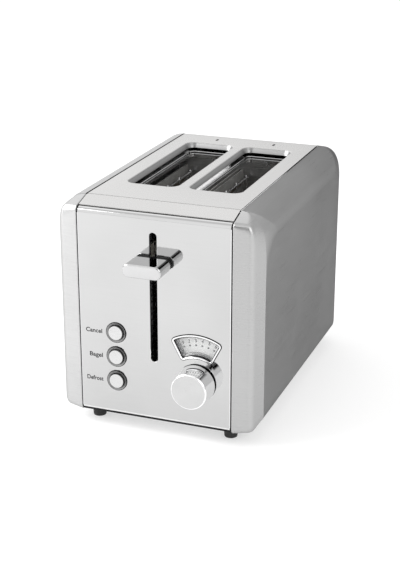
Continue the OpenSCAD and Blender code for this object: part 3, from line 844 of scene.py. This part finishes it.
def lever_knob():
    """Plated knob with a softly crowned face and rounded edges."""
    skin = Skin()
    low_y = LEVER_LOW.y + KNOB_CROWN
    high_y = -COLLAR_DEPTH
    width = LEVER_HIGH.x - LEVER_LOW.x
    height = LEVER_HIGH.z - LEVER_LOW.z
    radius = height / 2 - END_FLAT
    rows = [(inset, low_y + depth) for inset, depth in quarter_roll(KNOB_EDGE, EDGE_ROWS)]
    rows += [(0, high_y - KNOB_BACK_EDGE), (KNOB_BACK_EDGE, high_y)]
    rings = []
    for inset, y in rows:
        loop = stadium(width - 2 * inset, height - 2 * inset, radius - inset, 0, LEVER.z)
        rings.append(flat_loop(skin, loop, y))
    skin.loft(rings)
    inner = rings[0]
    for i in range(1, FACE_ROWS):
        share = i / FACE_ROWS
        loop = stadium(width - 2 * KNOB_EDGE - (width - height) * share,
                       (height - 2 * KNOB_EDGE) * (1 - share), (radius - KNOB_EDGE) * (1 - share),
                       0, LEVER.z)
        ring = flat_loop(skin, loop, low_y)
        skin.bridge(inner, ring)
        inner = ring
    skin.cap(inner)
    for vert in skin.bm.verts:
        place = (vert.co - at(0, 0, LEVER.z)) / MM
        front = max(0.0, 1 - (place.y - low_y) / CROWN_DEPTH)
        vert.co.y -= KNOB_CROWN * MM * front * (1 - (2 * place.x / width) ** 2)
    skin.cap(rings[-1])
    skin.piece("lever_knob_body", "carriage", [MAT["chrome"]], "chrome",
               replaces=("lever_knob",), sharp=40)


def lever_collar():
    """Black collar between the knob and the panel, black also as painted shade in the gap there."""
    skin = Skin()
    width = LEVER_HIGH.x - LEVER_LOW.x - COLLAR_SMALLER
    height = LEVER_HIGH.z - LEVER_LOW.z - COLLAR_SMALLER
    loop = stadium(width, height, height / 2 - END_FLAT, 0, LEVER.z)
    rings = [flat_loop(skin, loop, y) for y in (-COLLAR_DEPTH - COLLAR_OVERLAP, -COLLAR_GAP)]
    skin.block(rings)
    skin.piece("lever_collar", "carriage", [MAT["black"]], "dark_trim", bevel=0.15)


lever_knob()
lever_collar()

# ---- Dial, buttons and their bezels ----

CAP_BACK = 4
STEM_R = 2.5


def dial_knob():
    """Knob with a spun face inside a polished rim."""
    low, high = DIAL_LOW.y, DIAL_HIGH.y
    radius = (DIAL_HIGH.x - DIAL_LOW.x) / 2
    lathe("dial_knob_body", "dial", [MAT["dial"], MAT["dial_side"]], "chrome", DIAL, [
        (0, low + 0.15),
        (radius - 3.2, low + 0.1),
        (radius - 2.3, low),
        (radius - 1.95, low + 0.1),
        (radius - 1.35, low + 0.7),
        (radius - 1.2, low + 1.1),
        (radius - 0.35, -4.5),
        (radius - 0.05, -2.6),
        (radius - 0.15, -2.0),
        (radius - 0.6, high),
        (0, high),
    ], second_from=2, replaces=("dial_knob",), sharp=40)


def button_cap(name, place):
    """Spun cap on a thin stem."""
    low, high = mm_box(f"{name}_button")
    radius = (high.x - low.x) / 2
    lathe(f"{name}_button_cap", f"{name}_key", [MAT["cap"][name], MAT["ring"]], "spun_caps", place, [
        (0, low.y + 0.35),
        (radius * 0.5, low.y + 0.25),
        (radius - 0.9, low.y + 0.05),
        (radius - 0.55, low.y + 0.02),
        (radius - 0.2, low.y + 0.2),
        (radius - 0.05, low.y + 0.6),
        (radius, low.y + 1.2),
        (radius, CAP_BACK),
        (STEM_R, CAP_BACK),
        (STEM_R, high.y),
        (0, high.y),
    ], second_from=4, replaces=(f"{name}_button",), sharp=40)


BEZEL_R = (mm_box("button_bezels")[1].x - mm_box("button_bezels")[0].x) / 2
BEZEL_HOLE = BEZEL_R - 2.4
BEZEL_NECK_R = BUTTON_HOLE_R - 0.1
BEZEL_BACK = 5


def button_bezel(name, place, replaces):
    """Dark ring round a button, with its outer edge painted black as a shade line, that clips into
    the panel's hole.
    """
    lathe(f"{name}_bezel", "housing", [MAT["black"], MAT["ring"]], "dark_trim", place, [
        (BEZEL_R, 0),
        (BEZEL_R, -0.5),
        (BEZEL_R - 0.2, -0.8),
        (BEZEL_R - 0.5, -0.9),
        (BEZEL_R - 0.8, -0.8),
        (BEZEL_R - 1.1, -0.6),
        (BEZEL_HOLE + 0.3, -0.35),
        (BEZEL_HOLE, 0),
        (BEZEL_HOLE, BEZEL_BACK),
        (BEZEL_NECK_R, BEZEL_BACK),
        (BEZEL_NECK_R, 0),
    ], closed=True, second_from=3, replaces=replaces, sharp=40)


dial_knob()
for name, place in BUTTONS.items():
    button_cap(name, place)
for i, (name, place) in enumerate(BUTTONS.items()):
    button_bezel(name, place, ("button_bezels",) if i == 0 else ())

# ---- Small trim on the panels, and black strips painted as shade ----

ARM_HALF = mm_box("lever_arm")[1].x
SLOT_SHADE_GAP = 0.3
SLOT_SHADE_OUT = 5.5
SLOT_SHADE_LOW_Y, SLOT_SHADE_HIGH_Y = 1.25, 1.85
BASE_SHADE_LOW_Y, BASE_SHADE_HIGH_Y = 0.9, 4
MARK_W, MARK_L, MARK_R, MARK_Y = 2.2, 5.8, 1.09, 223.8
MARK_TOP, MARK_BOTTOM = 0.02, -0.1
RIVET_X = SLOT_X - 0.8
RIVET_DROP = 15
REAR_PLATE_Y = mm_box("rear_end_plate")[0].y


def plate(name, low, high):
    """Small flat black block between two corners."""
    skin = Skin()
    rings = [skin.ring([(low[0], low[1], z), (high[0], low[1], z), (high[0], high[1], z),
                        (low[0], high[1], z)]) for z in (low[2], high[2])]
    skin.block(rings)
    skin.piece(name, "housing", [MAT["black"]], "dark_trim", bevel=0.1)


def slot_mark(name, x):
    """Short dark pill printed on the top panel behind a slot."""
    skin = Skin()
    rings = [skin.ring(round_rect(MARK_W, MARK_L, MARK_R, TOP_Z + height, x, MARK_Y, 6))
             for height in (MARK_TOP, MARK_BOTTOM)]
    skin.block(rings)
    skin.piece(name, "housing", [MAT["ink"]], "dark_trim")


def rear_rivet(name, x, replaces):
    """Domed rivet head on the chamber's rear end plate."""
    lathe(name, "housing", [MAT["steel"]], "chrome", Vector((x, 0, TOP_Z - RIVET_DROP)), [
        (0, REAR_PLATE_Y - 1.1),
        (1.2, REAR_PLATE_Y - 1.0),
        (1.9, REAR_PLATE_Y - 0.6),
        (2.2, REAR_PLATE_Y),
        (0, REAR_PLATE_Y),
    ], sides=32, replaces=replaces)


# Black strips behind the lever slot, painted shade inside the slot, with a gap for the lever arm.
for side, sign in (("left", -1), ("right", 1)):
    inner, outer = sign * (ARM_HALF + SLOT_SHADE_GAP), sign * SLOT_SHADE_OUT
    plate(f"{side}_slot_shade_strip", (min(inner, outer), SLOT_SHADE_LOW_Y, SLOT_LOW - 1),
          (max(inner, outer), SLOT_SHADE_HIGH_Y, SLOT_TOP + 1))
slot_mark("left_slot_mark", -SLOT_X)
slot_mark("right_slot_mark", SLOT_X)
# Black strip under the front panel's hem, painted shade in the gap at the base.
plate("front_base_shade_strip", (-PANEL_HALF, BASE_SHADE_LOW_Y, PANEL_LOW),
      (PANEL_HALF, BASE_SHADE_HIGH_Y, PANEL_LOW + BASE_SHADE_STRIP + 0.3))
rear_rivet("left_rear_rivet", -RIVET_X, ("end_plate_rivets",))
rear_rivet("right_rear_rivet", RIVET_X, ())

# ---- Browning scale ----

SCALE_IN, SCALE_OUT, SCALE_ANGLE, SCALE_R = 20.8, 41.9, 27.7, 3.4
# Inset past which the corners stay sharp and the ends move in instead
SCALE_ROUND = 3.1
SCALE_MEAN_R = 31
# Inset, depth behind the panel's face and finish of each step of the bezel, from back to back
# Finish 0, black, is painted shade in the gap round the frame and down the recess walls; 1, the
# brighter plating, is a painted highlight on the frame and step edges; 2, dark ring steel, is
# painted shade on the deepest wall.
SCALE_SECTION = (
    (0.9, 3.0, 0), (0.9, 0.0, 0), (0.0, 0.0, 0), (0.0, -0.2, 0), (0.55, -0.25, 1),
    (0.65, -0.7, 1), (0.85, -0.8, 1), (1.75, -0.8, 1), (2.1, -0.5, 0), (2.15, -0.3, 0),
    (2.7, 0.2, 0), (2.7, 1.7, 1), (3.1, 1.75, 0), (3.1, 3.6, 1), (3.45, 3.65, 2),
    (3.5, 5.95, 0),
)


def scale_loop(inset):
    """Outline of the scale bezel, moved inward."""
    if inset <= SCALE_ROUND:
        return fan_loop(SCALE_IN + inset, SCALE_OUT - inset, SCALE_ANGLE, SCALE_R - inset)
    angle = SCALE_ANGLE - math.degrees((inset - SCALE_ROUND) / SCALE_MEAN_R)
    return fan_loop(SCALE_IN + inset, SCALE_OUT - inset, angle, SCALE_R - SCALE_ROUND)


def scale_bezel():
    """Bright frame between two dark outlines, over a recess that steps down to the scale; the
    outlines and walls are painted shade, the bright frame a painted highlight.
    """
    skin = Skin()
    rings = [flat_loop(skin, scale_loop(inset), y) for inset, y, _ in SCALE_SECTION]
    for first, second, (_, _, finish) in zip(rings, rings[1:], SCALE_SECTION):
        skin.bridge(first, second, finish=finish)
    skin.piece("scale_bezel_frame", "housing", [MAT["black"], MAT["rolled"], MAT["ring"]],
               "chrome", heart=(DIAL.x, 20, DIAL.z + SCALE_MEAN_R), replaces=("scale_bezel",),
               sharp=40)


scale_bezel()

# ---- Printed words and numbers ----

LABEL_H = 3.7
LABEL_RIGHT, LABEL_BASE = -12.4, -2.3
LABEL_LIFT = 0.03
LABEL_WEIGHT = 0.018
DOT_R = 0.8
DOT_FAR = 30.2
NUMBER_H = 2.7
NUMBER_W = 1.7
NUMBER_ONE_W = 0.9
NUMBER_FAR = DOT_FAR + 2.6
NUMBER_RIGHT = 0.9
NUMBER_LIFT = 0.02
NUMBER_WEIGHT = 0.02
PRINT_HALF_T = 0.02
DOT_HALF_T = 0.05
FONT_EXTRUDE = 0.01
PLATE_Y = mm_box("scale_plate")[0].y
# Lean of the first mark from upright and from each mark to the next, and the numbers' share of it
FIRST_LEAN, LEAN_STEP, NUMBER_LEAN = 25, 10, 0.5


def lettering(name, text, width, height, right, base, y, weight, tilt=0.0):
    """Flat printed characters; right and base are where their lower right corner comes."""
    curve = bpy.data.curves.new(name, "FONT")
    curve.body = text
    curve.size = 1.0
    curve.offset = weight
    curve.extrude = FONT_EXTRUDE
    source = bpy.data.objects.new(name + "_curve", curve)
    mesh = bpy.data.meshes.new_from_object(source)
    bpy.data.objects.remove(source)
    mesh.materials.clear()
    low_x = min(v.co.x for v in mesh.vertices)
    high_x = max(v.co.x for v in mesh.vertices)
    high_y = max(v.co.y for v in mesh.vertices)
    scale_x = width / (high_x - low_x)
    scale_z = height / high_y
    scale_y = PRINT_HALF_T / FONT_EXTRUDE
    turn = math.radians(tilt)
    for vert in mesh.vertices:
        x = (vert.co.x - high_x) * scale_x
        z = vert.co.y * scale_z
        turned = (x * math.cos(turn) - z * math.sin(turn), x * math.sin(turn) + z * math.cos(turn))
        vert.co = at(right + turned[0], y - vert.co.z * scale_y, base + turned[1])
    mesh.materials.append(MAT["ink"])
    piece = placed(name, mesh)
    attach(piece, "housing")


def scale_mark(number):
    """Printed dot with its number, at their place round the dial."""
    lean = FIRST_LEAN - LEAN_STEP * (number - 1)
    turn = math.radians(90 + lean)
    centre = Vector((DIAL.x + DOT_FAR * math.cos(turn), 0, DIAL.z + DOT_FAR * math.sin(turn)))
    lathe(f"scale_dot_{number}", "housing", [MAT["ink"]], "dark_trim", centre, [
        (0, PLATE_Y - DOT_HALF_T),
        (DOT_R, PLATE_Y - DOT_HALF_T),
        (DOT_R, PLATE_Y + DOT_HALF_T),
        (0, PLATE_Y + DOT_HALF_T),
    ], sides=20)
    lettering(f"scale_number_{number}", str(number), NUMBER_ONE_W if number == 1 else NUMBER_W,
              NUMBER_H, DIAL.x + NUMBER_FAR * math.cos(turn) + NUMBER_RIGHT,
              DIAL.z + NUMBER_FAR * math.sin(turn), PLATE_Y - NUMBER_LIFT, NUMBER_WEIGHT,
              tilt=lean * NUMBER_LEAN)


for name, text, width in (("cancel", "Cancel", 14.4), ("bagel", "Bagel", 11.6),
                          ("defrost", "Defrost", 14.6)):
    place = BUTTONS[name]
    lettering(f"{name}_label", text, width, LABEL_H, place.x + LABEL_RIGHT,
              place.z + LABEL_BASE, -LABEL_LIFT, LABEL_WEIGHT)
for number in range(1, 7):
    scale_mark(number)

# ---- Return springs round the guide rods ----

SPRING_R = 4.1
WIRE_R = 0.6
COILS = 22
COIL_STEPS = 20
WIRE_SIDES = 8


def spring(side, replaces):
    """Coil round one guide rod."""
    low, high = mm_box("return_springs")
    rod = middle(f"{side}_guide_rod")
    skin = Skin()
    rings = []
    total = COILS * COIL_STEPS
    for i in range(total + 1):
        angle = 2 * math.pi * i / COIL_STEPS
        out = Vector((math.cos(angle), math.sin(angle), 0))
        z = low.z + WIRE_R + (high.z - low.z - 2 * WIRE_R) * i / total
        centre = Vector((rod.x, rod.y, z)) + out * SPRING_R
        rings.append(skin.ring([
            centre + (out * math.cos(t) + Vector((0, 0, 1)) * math.sin(t)) * WIRE_R
            for t in (2 * math.pi * k / WIRE_SIDES for k in range(WIRE_SIDES))
        ]))
    skin.block(rings)
    piece = skin.piece(f"{side}_return_spring", "housing", [MAT["oiled"]], "bright_steel",
                       replaces=replaces)
    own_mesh(piece)


spring("left", ("return_springs",))
spring("right", ())

# ---- Everything else keeps its CAD shape, with rounded edges ----

BODY_OF = {node: body for body, nodes in frame["record"]["behaviour"]["bodies"].items()
           for node in nodes}
FEET = [f"foot_{end}_{side}" for end in ("front", "rear") for side in ("left", "right")]


def four(kind):
    """Nodes of one kind, one on each side of each slot."""
    return [f"{side}_{kind}"
            for side in ("left_outer", "left_inner", "right_inner", "right_outer")]


# Finish, with its slot and the CAD nodes that take it
FINISHES = {
    "chamber": ("chamber_steel", ["front_end_plate", "rear_end_plate", "left_heat_shield",
                                  "right_heat_shield", "base_plate", "rod_bracket",
                                  "carriage_plate"]),
    "steel": ("bright_steel", ["chamber_top_plate", *four("guide"), "left_bread_rest",
                               "right_bread_rest", "browning_shaft", "case_screws",
                               "crumb_tray"]),
    "oiled": ("bright_steel", ["left_guide_rod", "right_guide_rod"]),
    "mica": ("mica", four("board")),
    "ribbon": ("ribbon", four("ribbon")),
    "black": ("dark_trim", ["control_carrier", "crumb_tray_grip", "cord_gland",
                            "button_switches", "browning_control"]),
    "rubber": ("rubber", FEET),
    "bush": ("bush", ["left_slide_bush", "right_slide_bush"]),
    "iron": ("iron", ["latch_armature", "electromagnet_core", "lever_arm"]),
    "winding": ("winding", ["electromagnet_coil"]),
    "board": ("circuit", ["power_board", "control_board"]),
    "print": ("scale", ["scale_plate"]),
    "window": ("window", ["scale_window"]),
}
# Nodes with rounded edges, by the edges' radius
ROUNDED = {
    0.15: ["base_plate", "left_bread_rest", "right_bread_rest", "carriage_plate", "rod_bracket"],
    0.2: ["chamber_top_plate", "crumb_tray"],
    0.5: ["crumb_tray_grip", "cord_gland", *FEET],
}
EDGE_R = {node: radius for radius, nodes in ROUNDED.items() for node in nodes}
for finish, (slot, nodes) in FINISHES.items():
    for node in nodes:
        refined(node, BODY_OF[node], MAT[finish], slot, EDGE_R.get(node, 0))

# ---- Floor, light and camera ----

FLOOR_HALF = 9
SKY = 0.97
# Direction, cosines between which the sweep fades in, and what it adds to the sky
SWEEPS = (
    ((-0.55, 0.55, 0.63), 0.75, 0.97, 0.6),
    ((0.75, 0.66, 0.0), 0.4, 0.9, -0.2),
    ((-0.42, -0.84, 0.34), 0.75, 0.95, 0.4),
    ((0.17, -0.88, 0.44), 0.950, 0.985, -1.0),
)

# The camera's place, the directions of its right and its back, and its lens and sensor
CAMERA_PLACE = at(369.17, -878.43, TOP_Z + 290.20)
CAMERA_RIGHT = Vector((0.93618, 0.35152, 0))
CAMERA_BACK = Vector((0.32960, -0.87780, 0.34760))
CAMERA_LENS = 81.32
SENSOR_W = 36


def floor():
    """Plain pale floor that glows a little, so that shadows on it stay soft."""
    mesh = bpy.data.meshes.new("floor")
    corners = ((-1, -1), (1, -1), (1, 1), (-1, 1))
    mesh.from_pydata([(x * FLOOR_HALF, y * FLOOR_HALF, 0) for x, y in corners], [],
                     [(0, 1, 2, 3)])
    paint = Paint("pale_floor", (0.55, 0.55, 0.55), 0.8, Specular_IOR_Level=0.0,
                  Emission_Strength=0.48)
    paint.shader.inputs["Emission Color"].default_value = (1, 1, 1, 1)
    mesh.materials.append(paint.material)
    placed("floor", mesh)


def softbox(name, place, aim, size, power):
    """Rectangular area light, placed in metres and turned toward aim."""
    light = bpy.data.lights.new(name, "AREA")
    light.shape = "RECTANGLE"
    light.size, light.size_y = size
    light.energy = power
    lamp = placed(name, light)
    lamp.location = place
    lamp.rotation_mode = "QUATERNION"
    lamp.rotation_quaternion = (Vector(aim) - Vector(place)).to_track_quat("-Z", "Y")


def studio_world():
    """Pale surroundings with a few wide sweeps of brighter or dimmer light."""
    world = bpy.data.worlds.new("studio")
    bpy.context.scene.world = world
    world.use_nodes = True
    nodes, links = world.node_tree.nodes, world.node_tree.links
    place = nodes.new("ShaderNodeTexCoord").outputs["Generated"]
    total = None
    for toward, low, high, gain in SWEEPS:
        along = nodes.new("ShaderNodeVectorMath")
        along.operation = "DOT_PRODUCT"
        along.inputs[1].default_value = toward
        links.new(place, along.inputs[0])
        part = nodes.new("ShaderNodeMapRange")
        part.interpolation_type = "SMOOTHSTEP"
        part.inputs["From Min"].default_value = low
        part.inputs["From Max"].default_value = high
        part.inputs["To Min"].default_value = 0 if total else SKY
        part.inputs["To Max"].default_value = gain if total else SKY + gain
        part.clamp = True
        links.new(along.outputs["Value"], part.inputs["Value"])
        if total is None:
            total = part.outputs["Result"]
        else:
            add = nodes.new("ShaderNodeMath")
            add.operation = "ADD"
            links.new(total, add.inputs[0])
            links.new(part.outputs["Result"], add.inputs[1])
            total = add.outputs["Value"]
    background = nodes["Background"]
    background.inputs["Color"].default_value = (1.0, 1.0, 1.0, 1)
    links.new(total, background.inputs["Strength"])


def camera():
    """The viewing angle, 20.6 degrees round to the right and 20.3 degrees up."""
    data = bpy.data.cameras.new("camera")
    data.lens = CAMERA_LENS
    data.sensor_width = SENSOR_W
    data.clip_start, data.clip_end = 0.05, 50
    back = CAMERA_BACK.normalized()
    up = back.cross(CAMERA_RIGHT).normalized()
    right = up.cross(back)
    turn = Matrix((right, up, back)).transposed().to_4x4()
    eye = placed("camera", data)
    eye.matrix_world = Matrix.Translation(CAMERA_PLACE) @ turn
    bpy.context.scene.camera = eye


floor()
studio_world()
softbox("left_light", (-1.3, -0.6, 1.0), (-0.35, -0.2, 0.0), (1.2, 1.2), 24)
softbox("right_light", (1.2, -0.9, 0.9), (0.3, -0.4, 0.0), (1.0, 1.0), 5)
camera()
bpy.context.scene.view_settings.view_transform = "Standard"
